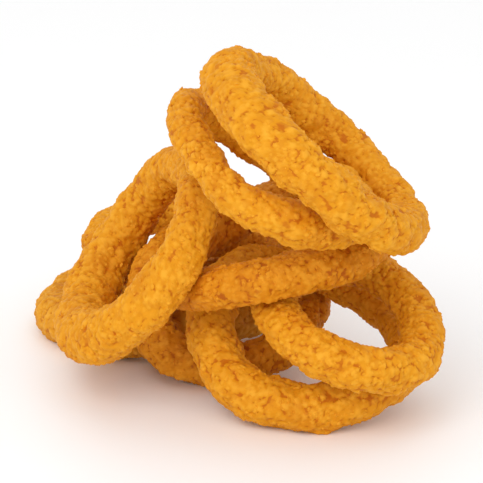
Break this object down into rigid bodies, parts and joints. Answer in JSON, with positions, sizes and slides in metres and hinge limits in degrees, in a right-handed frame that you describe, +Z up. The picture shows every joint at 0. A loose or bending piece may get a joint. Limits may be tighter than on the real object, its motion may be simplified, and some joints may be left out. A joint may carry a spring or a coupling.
{
  "type": "stack of onion rings",
  "caption": "Loose stack of crumbed, fried onion rings, leaning on and lying over each other as they were tipped out.",
  "frame": {"origin": "on the table, under the middle of the stack's bounding box", "axes": "+Z up; +X to the right and +Y away as the stack is seen from its front, where the low front ring lies"},
  "size_m": [0.1242, 0.1571, 0.1083],
  "materials": {
    "crust_golden": null,
    "crust_amber": null,
    "crust_pale": null
  },
  "bodies": {
    "root": {"ring_top": "crust_golden", "ring_under_top": "crust_golden", "ring_middle": "crust_amber", "ring_leaning_left": "crust_golden", "ring_right": "crust_golden", "ring_leaning_back": "crust_amber", "ring_base_front": "crust_golden", "ring_back": "crust_golden", "ring_base_left": "crust_pale"}
  },
  "joints": []
}
